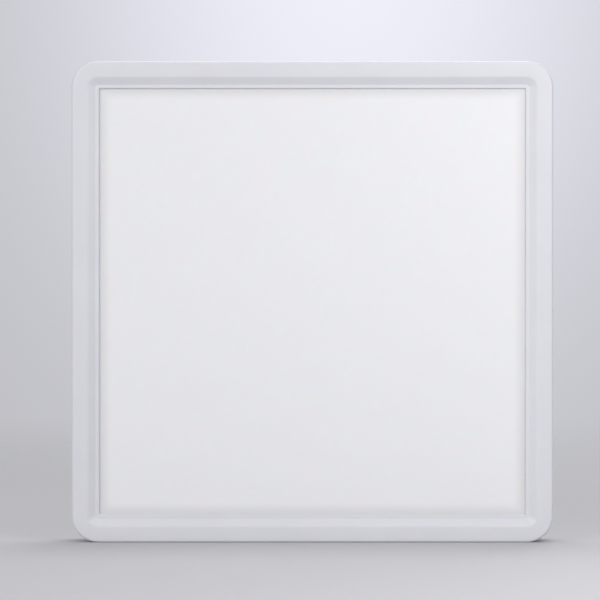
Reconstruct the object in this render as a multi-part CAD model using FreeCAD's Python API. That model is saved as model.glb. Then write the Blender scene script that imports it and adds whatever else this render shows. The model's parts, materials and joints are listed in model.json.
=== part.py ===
import FreeCAD, Part
import math
import os

V = FreeCAD.Vector

# A square slim ceiling light: a moulded white frame round an edge-lit opal panel, with its
# driver and terminals behind it, snapped onto a steel plate that is screwed to the ceiling box.
# Each piece is drawn flat, in millimetres: x to the right and y up as seen from the room, and
# z as depth from the ceiling towards the room. The light is then stood up, so that the row's
# +Z is the drawn y and the room is at the row's -Y. The origin is on the ceiling face of the
# plate, at the middle of its slots.

# ---- frame: outline and the steps of its front
side_length = 300.0
corner_radius = 16.5
frame_wall = 2.0
band_width = 10.0
slope_width = 4.6
slope_drop = 3.0
ledge_width = 2.4
lip_thickness = 1.5
lip_setback = 0.5
opening_corner = 0.8
front_rounding = 1.6
slope_rounding = 3.0
lip_rounding = 0.6
rim_rounding = 0.5
ceiling_gap = 0.5
rib_thickness = 1.2
rib_reach = 3.0
rib_gap = 0.5
rib_setback = 1.0
ribs_between_bosses = 2

# ---- panel stack: thicknesses from the lip back to the steel pan
diffuser_thickness = 2.0
guide_thickness = 3.0
reflector_thickness = 0.3
pad_thickness = 1.7
pan_thickness = 0.8
diffuser_cover = 9.0
guide_cover = 5.0
guide_corner = 6.0
pad_border = 2.2
pan_bend = 1.2
pad_relief = 1.0

# ---- light emitting diode boards on the pan's four walls
led_gap = 0.3
led_height = 0.8
led_length = 3.5
led_width = 2.8
led_count = 22
led_end_room = 4.0
board_thickness = 1.0
board_setback = 20.0
board_edge_gap = 0.1
corner_pad_gap = 0.3

# ---- fasteners and fits
screw_radius = 1.25
screw_play = 0.05
screw_hole_play = 0.35
screw_head_radius = 2.6
screw_head_height = 1.7
recess_width = 0.7
recess_depth = 0.9
boss_radius = 2.8
boss_setback = 40.0
boss_floor = 0.6
flange_edge_gap = 0.3
tip_length = 1.2
rivet_radius = 1.3
rivet_play = 0.05
rivet_head_radius = 2.3
rivet_head_height = 1.0
flat_screw_head_height = 1.2
lid_screw_length = 7.0
screw_crown_share = 0.5
screw_cross_share = 0.62
screw_point_share = 0.4
crown_share = 0.7
rivet_tail_share = 0.85
screw_end_gap = 0.3
pad_end_gap = 0.2
small_corner = 0.5

# ---- ceiling plate
plate_thickness = 1.5
plate_length = 132.0
plate_height = 100.0
plate_corner = 8.0
arm_span = 150.0
arm_width = 50.0
arm_depth = 13.0
arm_bend = 1.75
window_length = 52.0
window_height = 42.0
window_corner = 6.0
slot_half_width = 2.3
side_slot_spacing = 79.4
side_slot_length = 22.0
upright_slot_spacing = 72.0
upright_slot_length = 18.0
corner_hole_radius = 2.4
corner_hole_length_spacing = 110.0
corner_hole_height_spacing = 80.0
ground_screw_radius = 1.9
ground_head_radius = 3.5
ground_head_height = 2.4
ground_washer_radius = 4.4
ground_washer_thickness = 0.9
ground_screw_height = 18.0
ground_screw_depth = 7.2
ground_screw_reach = 3.0

# ---- spring clips on the plate's arms and the catches that they hold
clip_thickness = 0.5
clip_width = 20.0
clip_start = 2.6
clip_heel = 14.6
clip_nose_reach = 5.35
clip_nose_depth = 10.6
clip_tip_reach = 3.05
clip_tip_depth = 7.8
clip_heel_bend = 1.3
clip_nose_bend = 0.8
clip_rivet_depth = 4.6
clip_rivet_spacing = 12.0
catch_thickness = 1.2
catch_width = 24.0
catch_tip_reach = 3.6
catch_web_reach = 8.6
catch_lip_depth = 6.6
catch_foot_length = 14.4
catch_bend = 1.6
catch_rivet_reach = 17.0
catch_rivet_spacing = 14.0

# ---- beads pressed into the pan for stiffness
bead_height = 1.0
bead_width = 8.0
bead_end_setback = 75.0
bead_setback = 32.0
low_bead_setback = 52.0

# ---- driver: box, board and what stands on it
case_length = 140.0
case_height = 50.0
case_setback = 63.0
case_wall = 1.5
case_corner = 3.0
case_ceiling_gap = 2.0
ear_length = 11.0
ear_width = 14.0
ear_thickness = 2.0
ear_corner = 2.0
lid_thickness = 0.8
lid_skirt = 6.0
lid_gap = 0.1
post_radius = 3.0
post_inset = 5.0
standoff_height = 1.4
standoff_radius = 2.4
standoff_inset = 6.0
circuit_board_thickness = 1.6
circuit_board_end_gap = 3.0
circuit_board_side_gap = 1.5
tallest_part_gap = 0.6
supply_hole_across = -20.0
wire_hole_rise = 8.3
lead_hole_radius = 2.4
lead_landing_inset = 6.0
vent_count = 7
vent_pitch = 5.0
vent_length = 14.0
vent_half_width = 0.8
vent_across = -35.0
vent_lift = 6.0

# ---- what stands on the driver's board, with its place counted from the board's middle
fuse_place = (-36.0, -15.5)
fuse_size = (8.4, 4.0, 7.5)
film_place = (-45.0, 13.0)
film_size = (13.0, 6.0, 9.0)
choke_place = (-45.0, -2.0)
choke_radius = 5.0
choke_height = 8.2
choke_flange = 1.2
choke_groove = 0.7
bulk_place = (-12.0, 8.75)
bulk_pitch = 10.5
bulk_radius = 4.6
bulk_length = 20.0
output_place = (40.0, 13.0)
output_radius = 4.0
output_length = 16.0
can_groove_inset = 2.2
can_groove_radius = 0.55
can_groove_lift = 0.25
core_place = (18.0, 6.0)
core_length = 20.0
core_width = 13.0
core_leg = 4.0
core_yoke = 2.5
core_height = 8.5
core_foot = 1.0
coil_gap = 0.2
coil_proud = 0.3
rectifier_place = (-30.0, -5.0)
rectifier_size = (6.5, 5.0, 2.4)
controller_place = (2.0, -9.0)
controller_size = (5.0, 4.0, 1.6)
switch_place = (16.0, -11.0)
diode_across = 25.0
diode_edge_inset = 4.0
power_package_size = (6.6, 6.1, 2.3)
shunt_places = ((-2.0, -16.0), (8.0, -17.0), (50.0, -6.0))
shunt_size = (3.2, 1.6, 0.8)
package_corner_share = 0.12

# ---- colour selector, a slide switch with five places
selector_across = 38.0
selector_drop = 15.0
selector_length = 17.0
selector_width = 6.0
selector_height = 6.0
selector_slot_depth = 2.5
knob_length = 3.0
knob_width = 2.4
knob_gap = 0.3
knob_proud = 1.0
selector_places = 5
selector_step = 2.0
knob_groove_depth = 0.3
knob_groove_pitch = 0.9
knob_groove_width = 0.4

# ---- supply terminals
pole_count = 3
pole_pitch = 7.5
terminal_side_wall = 0.75
terminal_front = -9.5
terminal_back = 10.5
terminal_height = 9.0
terminal_base_thickness = 1.2
terminal_ear = 6.0
terminal_base_corner = 1.5
terminal_corner = 0.8
entry_radius = 1.6
entry_rise = 4.1
entry_length = 10.0
lever_width = 5.5
lever_side_gap = 0.35
lever_length = 8.6
lever_thickness = 1.5
lever_sunk = 0.2
lever_hub_radius = 1.6
lever_hub_gap = 0.4
lever_hub_up = 6.0
lever_hub_sunk = 2.5
lever_heel = 0.6
lever_floor_gap = 0.4
lever_front_gap = 0.8
trunnion_radius = 0.8
trunnion_play = 0.06
trunnion_reach = 0.6
trunnion_end_gap = 0.1
contact_thickness = 0.8
contact_width = 4.0
contact_chamber_width = 5.0
contact_back = 7.5
contact_tab_rise = 3.9
contact_mouth = 0.5
lever_tip_round = 0.65
lever_neck = 1.0
lever_grip_count = 3
lever_grip_inset = 1.2
lever_grip_pitch = 0.9
lever_grip_width = 0.4
lever_grip_side = 0.6
lever_grip_depth = 0.25

# ---- wires held inside
supply_wire_radius = 1.1
supply_wire_play = 0.15
supply_wire_rise = 2.8
lead_wire_radius = 0.65
link_wire_radius = 0.5
link_wire_lift = 0.15
link_wire_setback = 0.2
link_wire_gap = 0.3
link_joint_inset = 8.0
link_joint_pitch = 4.0
link_end_bend = 0.8
link_corner_bend = 5.0
supply_wire_gap = 0.5
supply_landing = 9.0
supply_stages = 4
supply_sway = 1.0
lead_wire_gap = 0.3
lead_straight = 22.0
lead_fall_length = 14.0
lead_fall = 2.5
lead_dip = 3.5
lead_board_bend = 2.0
lead_long_bend = 12.0
lead_dip_bend = 3.0
lead_pan_bend = 0.75
bushing_lock = 1.5
bushing_lock_lip = 0.6
bushing_room = 0.5
grommet_rim = 1.2
grommet_front_rim = 0.8
grommet_front_thickness = 0.25
grommet_bore_play = 0.1
earth_barrel_length = 2.5
earth_neck_half_width = 1.4
earth_barrel_gap = 3.0
earth_first_run = 10.0
earth_second_run = 9.0
earth_sway = 3.0
earth_turn = 11.0
bushing_radius = 4.0
bushing_flange = 1.2
grommet_hole_radius = 3.2
grommet_setback = 24.0
grommet_lift = 5.0
earth_ring_radius = 4.0
earth_ring_thickness = 0.8
earth_barrel_radius = 1.6
earth_across = 35.0
earth_up = 31.0

# ---- how far joined shapes run into each other, how far cuts run past a face, and what counts
# as lying on a plane
sink = 0.1
through = 1.0
on_plane = 0.01

# ---- places worked out from the sizes above
half = side_length / 2
slope_start = half - band_width
slope_end = slope_start - slope_width
opening_half = slope_end - ledge_width
corner_centre = half - corner_radius

# depths from the ceiling to the room: the driver, the panel stack, then the frame's front
lid_back = case_ceiling_gap
case_rim = lid_back + lid_thickness
winding_height = core_foot + core_height + coil_proud
tallest_can = 2 * max(bulk_radius, output_radius)
tallest_part = max(winding_height, tallest_can, choke_height, film_size[2], fuse_size[2])
circuit_front = case_rim + tallest_part_gap + tallest_part
circuit_back = circuit_front + circuit_board_thickness
case_floor = circuit_back + standoff_height
pan_back = case_floor + case_wall
pad_back = pan_back + pan_thickness
reflector_back = pad_back + pad_thickness
guide_back = reflector_back + reflector_thickness
diffuser_back = guide_back + guide_thickness
lip_back = diffuser_back + diffuser_thickness
ledge_depth = lip_back + lip_thickness
body_depth = ledge_depth + slope_drop

diffuser_half = opening_half + diffuser_cover
guide_half = opening_half + guide_cover
board_face = guide_half + led_gap + led_height
pan_inside = board_face + board_thickness
pan_outside = pan_inside + pan_thickness
frame_inside = half - frame_wall
flange_edge = frame_inside - flange_edge_gap
flange_back = diffuser_back - pan_thickness
boss_line = frame_inside - boss_radius
boss_spacing = half - boss_setback
boss_stations = [-boss_spacing, 0.0, boss_spacing]
board_length = side_length - 2 * board_setback
led_pitch = (board_length - 2 * led_end_room) / (led_count - 1)
bead_places = half - bead_setback
bead_length = side_length - 2 * bead_end_setback
low_bead_place = low_bead_setback - half
pad_half = guide_half - pad_border - 2 * link_wire_radius

arm_outside = arm_span / 2
catch_web = arm_outside + catch_web_reach
catch_rivet_across = arm_outside + catch_rivet_reach

case_middle = half - case_setback
case_bottom = case_middle - case_height / 2
circuit_board_length = case_length - 2 * (post_inset + post_radius + circuit_board_end_gap)
circuit_board_height = case_height - 2 * (case_wall + circuit_board_side_gap)
diode_place = (diode_across, circuit_board_height / 2 - diode_edge_inset)
ear_across = case_length / 2 + ear_length / 2
vent_up = case_middle + vent_lift
grommet_across = half - grommet_setback
grommet_up = case_middle + grommet_lift

selector_up = case_middle - selector_drop
selector_travel = (selector_places - 1) * selector_step
selector_top = circuit_front - selector_height
knob_start = selector_across - selector_travel / 2

terminal_half = pole_count * pole_pitch / 2 + terminal_side_wall
terminal_base_back = pan_back - terminal_base_thickness
terminal_top = pan_back - terminal_height
entry_depth = pan_back - entry_rise
lever_hub_depth = terminal_top + lever_hub_sunk
contact_tab_top = pan_back - contact_tab_rise
supply_wire_depth = pan_back - supply_wire_rise
wire_hole_depth = pan_back - wire_hole_rise
lever_top = terminal_top + lever_sunk
pole_places = [pole_pitch * (i - (pole_count - 1) / 2) for i in range(pole_count)]
terminal_ear_across = terminal_half + terminal_ear / 2
terminal_middle = (terminal_front + terminal_back) / 2
supply_run = (case_bottom - contact_back) / supply_stages


# ---- plain shapes

def block(x0, x1, y0, y1, z0, z1):
    """A box between two corners."""
    return Part.makeBox(x1 - x0, y1 - y0, z1 - z0, V(x0, y0, z0))


def rod(x, y, radius, z0, z1):
    """A round bar along the depth."""
    return Part.makeCylinder(radius, z1 - z0, V(x, y, z0), V(0, 0, 1))


def cross_rod(x0, x1, y, z, radius):
    """A round bar along x."""
    return Part.makeCylinder(radius, x1 - x0, V(x0, y, z), V(1, 0, 0))


def upright_rod(x, y0, y1, z, radius):
    """A round bar along y."""
    return Part.makeCylinder(radius, y1 - y0, V(x, y0, z), V(0, 1, 0))


def outline(half_x, half_y, corner, depth, x=0.0, y=0.0):
    """A closed rectangle with round corners, at one depth."""
    edges = []
    places = [(1, 1, 0), (-1, 1, 90), (-1, -1, 180), (1, -1, 270)]
    ends = []
    for sx, sy, turn in places:
        cx = x + sx * (half_x - corner)
        cy = y + sy * (half_y - corner)
        points = []
        for angle in (turn, turn + 45, turn + 90):
            a = math.radians(angle)
            points.append(V(cx + corner * math.cos(a), cy + corner * math.sin(a), depth))
        edges.append(Part.Arc(*points).toShape())
        ends.append(points)
    for i in range(4):
        edges.append(Part.LineSegment(ends[i][2], ends[(i + 1) % 4][0]).toShape())
    return Part.Wire(Part.sortEdges(edges)[0])


def plate(half_x, half_y, corner, z0, z1, x=0.0, y=0.0):
    """A slab with round corners."""
    face = Part.Face(outline(half_x, half_y, corner, z0, x, y))
    return face.extrude(V(0, 0, z1 - z0))


def concentric(reach, z0, z1):
    """A square slab whose corners share their centres with the frame's outer corners."""
    return plate(reach, reach, reach - corner_centre, z0, z1)


def slot(x, y, length, half_width, z0, z1, upright=False):
    """A slab with half-round ends."""
    if upright:
        return plate(half_width, length / 2, half_width - on_plane / 10, z0, z1, x, y)
    return plate(length / 2, half_width, half_width - on_plane / 10, z0, z1, x, y)


def turned(shape, quarters):
    """The same shape moved round to another side of the square."""
    copy = shape.copy()
    copy.rotate(V(0, 0, 0), V(0, 0, 1), 90 * quarters)
    return copy


def mirrored(shape):
    """The left-hand twin of a right-hand piece."""
    return shape.mirror(V(0, 0, 0), V(1, 0, 0))


def rounded(shape, radius, wanted):
    """The shape with a fillet on each edge that is wanted, judged by the edge's middle."""
    edges = []
    for edge in shape.Edges:
        middle = edge.valueAt((edge.FirstParameter + edge.LastParameter) / 2)
        if wanted(middle, edge):
            edges.append(edge)
    return shape.makeFillet(radius, edges)


def square_reach(point):
    """How far out a point lies, counted across the square's sides and round its corners."""
    dx = abs(point.x) - corner_centre
    dy = abs(point.y) - corner_centre
    if dx > 0 and dy > 0:
        return corner_centre + math.hypot(dx, dy)
    return corner_centre + max(dx, dy)


def bends(points, radii):
    """Tangent points and middles of the arcs that round a line's inner points."""
    arcs = []
    for before, corner, after, radius in zip(points, points[1:], points[2:], radii):
        back = (before - corner).normalize()
        ahead = (after - corner).normalize()
        opening = back.getAngle(ahead)
        reach = radius / math.tan(opening / 2)
        centre = corner + (back + ahead).normalize() * (radius / math.sin(opening / 2))
        middle = centre + (corner - centre).normalize() * radius
        arcs.append((corner + back * reach, middle, corner + ahead * reach, centre))
    return arcs


def path(points, radii):
    """Straight runs joined by tangent arcs."""
    edges = []
    last = points[0]
    for start, middle, end, _ in bends(points, radii):
        edges.append(Part.LineSegment(last, start).toShape())
        edges.append(Part.Arc(start, middle, end).toShape())
        last = end
    edges.append(Part.LineSegment(last, points[-1]).toShape())
    return Part.Wire(edges)


def widest_bends(points, share=0.45):
    """A radius for each corner that uses up the given share of the shorter run beside it."""
    radii = []
    for before, corner, after in zip(points, points[1:], points[2:]):
        shorter = min((corner - before).Length, (after - corner).Length)
        opening = (before - corner).getAngle(after - corner)
        radii.append(share * shorter * math.tan(opening / 2))
    return radii


def wire_tube(points, radius, radii=None):
    """A round wire along straight runs and arcs, which are as wide as they can be if not given."""
    line = path(points, radii or widest_bends(points))
    start = (points[1] - points[0]).normalize()
    section = Part.Wire(Part.makeCircle(radius, points[0], start))
    return line.makePipeShell([section], True, False)


def bent_strip(points, radii, thickness, width):
    """Sheet bent in the x and depth plane, centred on y."""
    sides = []
    for side in (1, -1):
        edges = []
        normals = []
        for a, b in zip(points, points[1:]):
            run = (b - a).normalize()
            normals.append(V(-run.z, 0, run.x) * (side * thickness / 2))
        last = points[0] + normals[0]
        for i, (start, middle, end, centre) in enumerate(bends(points, radii)):
            outward = (middle - centre).normalize()
            grow = thickness / 2 if normals[i].dot(outward) > 0 else -thickness / 2
            first = centre + (start - centre).normalize() * (radii[i] + grow)
            halfway = centre + outward * (radii[i] + grow)
            final = centre + (end - centre).normalize() * (radii[i] + grow)
            edges.append(Part.LineSegment(last, first).toShape())
            edges.append(Part.Arc(first, halfway, final).toShape())
            last = final
        shifted = points[-1] + normals[-1]
        edges.append(Part.LineSegment(last, shifted).toShape())
        sides.append((edges, points[0] + normals[0], shifted))
    caps = [Part.LineSegment(sides[0][i], sides[1][i]).toShape() for i in (1, 2)]
    loop = Part.Wire(Part.sortEdges(sides[0][0] + sides[1][0] + caps)[0])
    solid = Part.Face(loop).extrude(V(0, width, 0))
    solid.translate(V(0, -width / 2, 0))
    return solid


def quarter_turn(shape, x, y):
    """The shape turned by a quarter about an upright line."""
    copy = shape.copy()
    copy.rotate(V(x, y, 0), V(0, 0, 1), 90)
    return copy


def screw(x, y, seat, tip, radius, head=screw_head_radius, height=screw_head_height):
    """A cross-head screw driven from the ceiling side: head on its seat, tip towards the room."""
    top = seat - height
    cap = rod(x, y, head, top, seat)
    cap = rounded(cap, height * screw_crown_share, lambda p, e: abs(p.z - top) < on_plane)
    neck = tip - tip_length
    shank = rod(x, y, radius, seat, neck)
    point = Part.makeCone(radius, radius * screw_point_share, tip_length, V(x, y, neck), V(0, 0, 1))
    arm = head * screw_cross_share
    wide = recess_width / 2
    cross = block(x - arm, x + arm, y - wide, y + wide, top - through, top + recess_depth)
    cross = cross.fuse(quarter_turn(cross, x, y))
    return cap.fuse([shank, point]).cut(cross).removeSplitter()


def rivet(x, y, back, front):
    """A blind rivet through sheets that lie between two depths, domed on the ceiling side."""
    top = back - rivet_head_height
    head = rod(x, y, rivet_head_radius, top, back)
    head = rounded(head, rivet_head_height * crown_share, lambda p, e: p.z < top + on_plane)
    body = rod(x, y, rivet_radius, back, front)
    tail = rod(x, y, rivet_head_radius * rivet_tail_share, front, front + rivet_head_height)
    return head.fuse([body, tail]).removeSplitter()


def boss_places():
    """Where the pan is screwed to the frame: three places on the top side, then all four sides."""
    places = []
    for quarters in range(4):
        for along in boss_stations:
            point = FreeCAD.Rotation(V(0, 0, 1), 90 * quarters).multVec(V(along, boss_line, 0))
            places.append((point.x, point.y))
    return places


def pan_fastener_places():
    """Screws and rivets that pass through the floor of the pan, as x, y and radius."""
    places = []
    for side in (-1, 1):
        places.append((side * ear_across, case_middle, screw_radius))
        places.append((side * terminal_ear_across, terminal_middle, screw_radius))
        for up in (-1, 1):
            places.append((side * catch_rivet_across, up * catch_rivet_spacing / 2, rivet_radius))
    places.append((earth_across, earth_up, screw_radius))
    return places


# ---- the frame and the panel stack

def bezel_frame():
    front = body_depth - frame_wall
    body = concentric(half, ceiling_gap, body_depth)
    body = body.cut(concentric(frame_inside, ceiling_gap - through, front))
    body = body.fuse(concentric(slope_start - lip_setback, lip_back, front + sink))
    top = outline(slope_start, slope_start, slope_start - corner_centre, body_depth)
    foot = outline(slope_end, slope_end, slope_end - corner_centre, ledge_depth)
    body = body.cut(Part.makeLoft([foot, top], True, True))
    window = plate(opening_half, opening_half, opening_corner, lip_back - through, body_depth + through)
    body = body.cut(window)
    inside = []
    holes = []
    step = boss_spacing / (ribs_between_bosses + 1)
    rib_places = [i * step for i in range(-ribs_between_bosses, ribs_between_bosses + 1) if i]
    for quarters in range(4):
        for along in boss_stations:
            boss = rod(along, boss_line, boss_radius, diffuser_back, front + sink)
            left = along - boss_radius
            right = along + boss_radius
            web = block(left, right, boss_line, frame_inside + sink, diffuser_back, front + sink)
            hole = rod(along, boss_line, screw_radius, diffuser_back - through, front - boss_floor)
            inside += [turned(boss, quarters), turned(web, quarters)]
            holes.append(turned(hole, quarters))
        for along in rib_places:
            left = along - rib_thickness / 2
            right = along + rib_thickness / 2
            back = ceiling_gap + rib_setback
            foot = flange_back - rib_gap
            rib = block(left, right, frame_inside - rib_reach, frame_inside + sink, back, foot)
            inside.append(turned(rib, quarters))
    body = body.fuse(inside).cut(holes).removeSplitter()

    def front_edge(point, edge):
        return point.z > body_depth - on_plane and square_reach(point) > half - on_plane

    def slope_edge(point, edge):
        return point.z > body_depth - on_plane and abs(square_reach(point) - slope_start) < on_plane

    def window_edge(point, edge):
        inner = max(abs(point.x), abs(point.y)) < opening_half + on_plane
        return inner and abs(point.z - ledge_depth) < on_plane

    def rim_edge(point, edge):
        return abs(point.z - ceiling_gap) < on_plane and square_reach(point) > half - on_plane

    body = rounded(body, front_rounding, front_edge)
    body = rounded(body, slope_rounding, slope_edge)
    body = rounded(body, lip_rounding, window_edge)
    return rounded(body, rim_rounding, rim_edge)


def diffuser():
    return concentric(diffuser_half, diffuser_back, lip_back)


def light_guide():
    return plate(guide_half, guide_half, guide_corner, guide_back, diffuser_back)


def reflector_sheet():
    return plate(guide_half, guide_half, guide_corner, reflector_back, guide_back)


def foam_pad():
    """Soft pad behind the reflector, with clearance for fastener ends and for the leads."""
    pad = plate(pad_half, pad_half, guide_corner, pad_back, reflector_back)
    back = pad_back - through
    front = reflector_back + through
    cuts = []
    for x, y, _ in pan_fastener_places():
        cuts.append(rod(x, y, rivet_head_radius + pad_relief, back, front))
    wide = grommet_hole_radius + pad_relief
    start = grommet_across - wide
    middle = (start + half) / 2
    cuts.append(plate((half - start) / 2, wide, pad_relief, back, front, middle, grommet_up))
    return pad.cut(cuts)


def rear_pan():
    """Drawn steel pan: floor, walls that carry the light boards, and a flange to the frame."""
    pan = concentric(pan_outside, pan_back, diffuser_back)
    pan = pan.fuse(concentric(flange_edge, flange_back, diffuser_back))
    pan = pan.cut(concentric(pan_inside, pad_back, diffuser_back + through)).removeSplitter()

    def floor_edge(point, edge):
        return abs(point.z - pan_back) < on_plane and square_reach(point) > pan_outside - on_plane

    pan = rounded(pan, pan_bend, floor_edge)
    top = pan_back - bead_height
    wide = bead_width / 2
    beads = [slot(0, low_bead_place, bead_length, wide, top, pad_back)]
    for side in (-1, 1):
        beads.append(slot(side * bead_places, 0, bead_length, wide, top, pad_back, True))
    soft = [rounded(bead, bead_height * crown_share, lambda p, e: p.z < top + on_plane) for bead in beads]
    pan = pan.fuse(soft)
    holes = []
    for x, y in boss_places():
        radius = screw_radius + screw_hole_play
        holes.append(rod(x, y, radius, flange_back - through, diffuser_back + through))
    for x, y, radius in pan_fastener_places():
        holes.append(rod(x, y, radius + screw_play, pan_back - through, pad_back + through))
    holes.append(rod(grommet_across, grommet_up, grommet_hole_radius, pan_back - through, pad_back + through))
    return pan.cut(holes).removeSplitter()


def pan_screws():
    tip = body_depth - frame_wall - boss_floor - screw_end_gap
    screws = []
    for x, y in boss_places():
        screws.append(screw(x, y, flange_back, tip, screw_radius - screw_play))
    return screws


def led_board():
    """The board on the top wall; the other three are the same board moved round."""
    back = pad_back + board_edge_gap
    front = diffuser_back - board_edge_gap
    return block(-board_length / 2, board_length / 2, board_face, pan_inside, back, front)


def led_row():
    """The diodes of the top board, level with the light guide's edge."""
    middle = (guide_back + diffuser_back) / 2
    back = middle - led_width / 2
    front = middle + led_width / 2
    row = []
    for i in range(led_count):
        x = led_pitch * (i - (led_count - 1) / 2)
        left = x - led_length / 2
        row.append(block(left, left + led_length, board_face - led_height, board_face, back, front))
    return row


def guide_pads():
    """Soft pieces that fill the corners between the light guide and the pan."""
    clear = board_length / 2 + corner_pad_gap
    corner = block(clear, half, clear, half, guide_back, diffuser_back)
    inside = concentric(pan_inside, guide_back, diffuser_back)
    guide = plate(guide_half, guide_half, guide_corner, guide_back - through, diffuser_back + through)
    pad = corner.common(inside).cut(guide)
    return [turned(pad, quarters) for quarters in range(4)]


def board_link_wires():
    """Two thin wires round three of the corners join each board to the next."""
    depth = pad_back + link_wire_lift + link_wire_radius
    wires = []
    for ring in range(2):
        inset = link_wire_setback + link_wire_radius + ring * (2 * link_wire_radius + link_wire_gap)
        line = guide_half - inset
        start = board_length / 2 - link_joint_inset - link_joint_pitch * ring
        points = [
            V(start, board_face, depth),
            V(start, line, depth),
            V(line, line, depth),
            V(line, start, depth),
            V(board_face, start, depth),
        ]
        tube = wire_tube(points, link_wire_radius, [link_end_bend, link_corner_bend, link_end_bend])
        wires += [turned(tube, quarters) for quarters in (1, 2, 3)]
    return wires


# ---- the ceiling plate and its clips

def arm_hole(side, up, depth, radius):
    """A hole through one of the plate's arms and what lies on it."""
    middle = side * arm_outside
    reach = plate_thickness + through
    return cross_rod(middle - reach, middle + reach, up, depth, radius)


def mounting_plate():
    middle = plate_thickness / 2
    arm = arm_outside - plate_thickness / 2
    points = [V(-arm, 0, arm_depth), V(-arm, 0, middle), V(arm, 0, middle), V(arm, 0, arm_depth)]
    sheet = bent_strip(points, [arm_bend, arm_bend], plate_thickness, arm_width)
    sheet = sheet.fuse(plate(plate_length / 2, plate_height / 2, plate_corner, 0, plate_thickness))
    back = -through
    front = plate_thickness + through
    cuts = [plate(window_length / 2, window_height / 2, window_corner, back, front)]
    for side in (-1, 1):
        across = side * side_slot_spacing / 2
        up = side * upright_slot_spacing / 2
        cuts.append(slot(across, 0, side_slot_length, slot_half_width, back, front))
        cuts.append(slot(0, up, upright_slot_length, slot_half_width, back, front, True))
        for other in (-1, 1):
            x = side * corner_hole_length_spacing / 2
            y = other * corner_hole_height_spacing / 2
            cuts.append(rod(x, y, corner_hole_radius, back, front))
            along = other * clip_rivet_spacing / 2
            cuts.append(arm_hole(side, along, clip_rivet_depth, rivet_radius + rivet_play))
    cuts.append(arm_hole(-1, ground_screw_height, ground_screw_depth, ground_screw_radius))
    return sheet.cut(cuts).removeSplitter()


def right_spring_clip():
    """Spring steel bent back on itself: the catch snaps past its nose and rests on its slope."""
    face = arm_outside + clip_thickness / 2
    points = [
        V(face, 0, clip_start),
        V(face, 0, clip_heel),
        V(face + clip_nose_reach, 0, clip_nose_depth),
        V(face + clip_tip_reach, 0, clip_tip_depth),
    ]
    strip = bent_strip(points, [clip_heel_bend, clip_nose_bend], clip_thickness, clip_width)
    holes = []
    for side in (-1, 1):
        along = side * clip_rivet_spacing / 2
        holes.append(arm_hole(1, along, clip_rivet_depth, rivet_radius + rivet_play))
    return strip.cut(holes)


def clip_rivets():
    """Rivets drawn along the depth at the origin, then laid across the arms."""
    rivets = []
    grip = plate_thickness + clip_thickness
    for side in (-1, 1):
        for other in (-1, 1):
            one = rivet(0, 0, 0, grip)
            one.rotate(V(0, 0, 0), V(0, 1, 0), -90 * side)
            place = V(side * (arm_outside + clip_thickness), other * clip_rivet_spacing / 2, clip_rivet_depth)
            one.translate(place)
            rivets.append(one)
    return rivets


def ground_screw():
    """Screw for the ceiling box's earth wire, driven through the left arm from its inside."""
    length = ground_washer_thickness + plate_thickness + ground_screw_reach
    radius = ground_screw_radius - screw_play
    one = screw(0, 0, 0, length, radius, ground_head_radius, ground_head_height)
    one.rotate(V(0, 0, 0), V(0, 1, 0), -90)
    inside = -arm_outside + plate_thickness + ground_washer_thickness
    one.translate(V(inside, ground_screw_height, ground_screw_depth))
    return one


def ground_washer():
    inside = -arm_outside + plate_thickness
    up = ground_screw_height
    depth = ground_screw_depth
    ring = cross_rod(inside, inside + ground_washer_thickness, up, depth, ground_washer_radius)
    return ring.cut(arm_hole(-1, up, depth, ground_screw_radius))


def right_catch_bracket():
    """Bent bracket on the pan, with the lip that the spring clip holds."""
    tip = arm_outside + catch_tip_reach
    foot = pan_back - catch_thickness / 2
    points = [
        V(tip, 0, catch_lip_depth),
        V(catch_web, 0, catch_lip_depth),
        V(catch_web, 0, foot),
        V(catch_web + catch_foot_length, 0, foot),
    ]
    strip = bent_strip(points, [catch_bend, catch_bend], catch_thickness, catch_width)
    holes = []
    for side in (-1, 1):
        up = side * catch_rivet_spacing / 2
        radius = rivet_radius + rivet_play
        holes.append(rod(catch_rivet_across, up, radius, foot - catch_thickness, foot + catch_thickness))
    return strip.cut(holes)


def catch_rivets():
    rivets = []
    for side in (-1, 1):
        for other in (-1, 1):
            place = (side * catch_rivet_across, other * catch_rivet_spacing / 2)
            rivets.append(rivet(place[0], place[1], pan_back - catch_thickness, pad_back))
    return rivets


# ---- driver

def driver_case():
    """Moulded tray that is open towards the ceiling, with ears, posts and standoffs."""
    cx = case_length / 2
    cy = case_height / 2
    inner_x = cx - case_wall
    inner_y = cy - case_wall
    tray = plate(cx, cy, case_corner, case_rim, pan_back, 0, case_middle)
    hollow = plate(inner_x, inner_y, case_corner - case_wall, case_rim - through, case_floor, 0, case_middle)
    tray = tray.cut(hollow)
    adds = []
    cuts = []
    back = pan_back - ear_thickness
    low = case_middle - ear_width / 2
    for side in (-1, 1):
        across = side * ear_across
        adds.append(plate(ear_length / 2, ear_width / 2, ear_corner, back, pan_back, across, case_middle))
        near = side * (cx - case_wall / 2)
        adds.append(block(min(near, across), max(near, across), low, low + ear_width, back, pan_back))
        cuts.append(rod(across, case_middle, screw_radius + screw_hole_play, 0, pan_back + through))
        post = side * (cx - post_inset)
        adds.append(rod(post, case_middle, post_radius, case_rim, case_floor + sink))
        bottom = case_rim + lid_screw_length + through
        cuts.append(rod(post, case_middle, screw_radius, case_rim - through, bottom))
        for other in (-1, 1):
            x = side * (circuit_board_length / 2 - standoff_inset)
            y = case_middle + other * (circuit_board_height / 2 - standoff_inset)
            adds.append(rod(x, y, standoff_radius, circuit_back, case_floor + sink))
    start = case_bottom - through
    end = case_bottom + case_wall + through
    cuts.append(upright_rod(supply_hole_across, start, end, wire_hole_depth, bushing_radius))
    cuts.append(cross_rod(inner_x - through, cx + through, grommet_up, wire_hole_depth, lead_hole_radius))
    return tray.fuse(adds).cut(cuts).removeSplitter()


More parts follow.
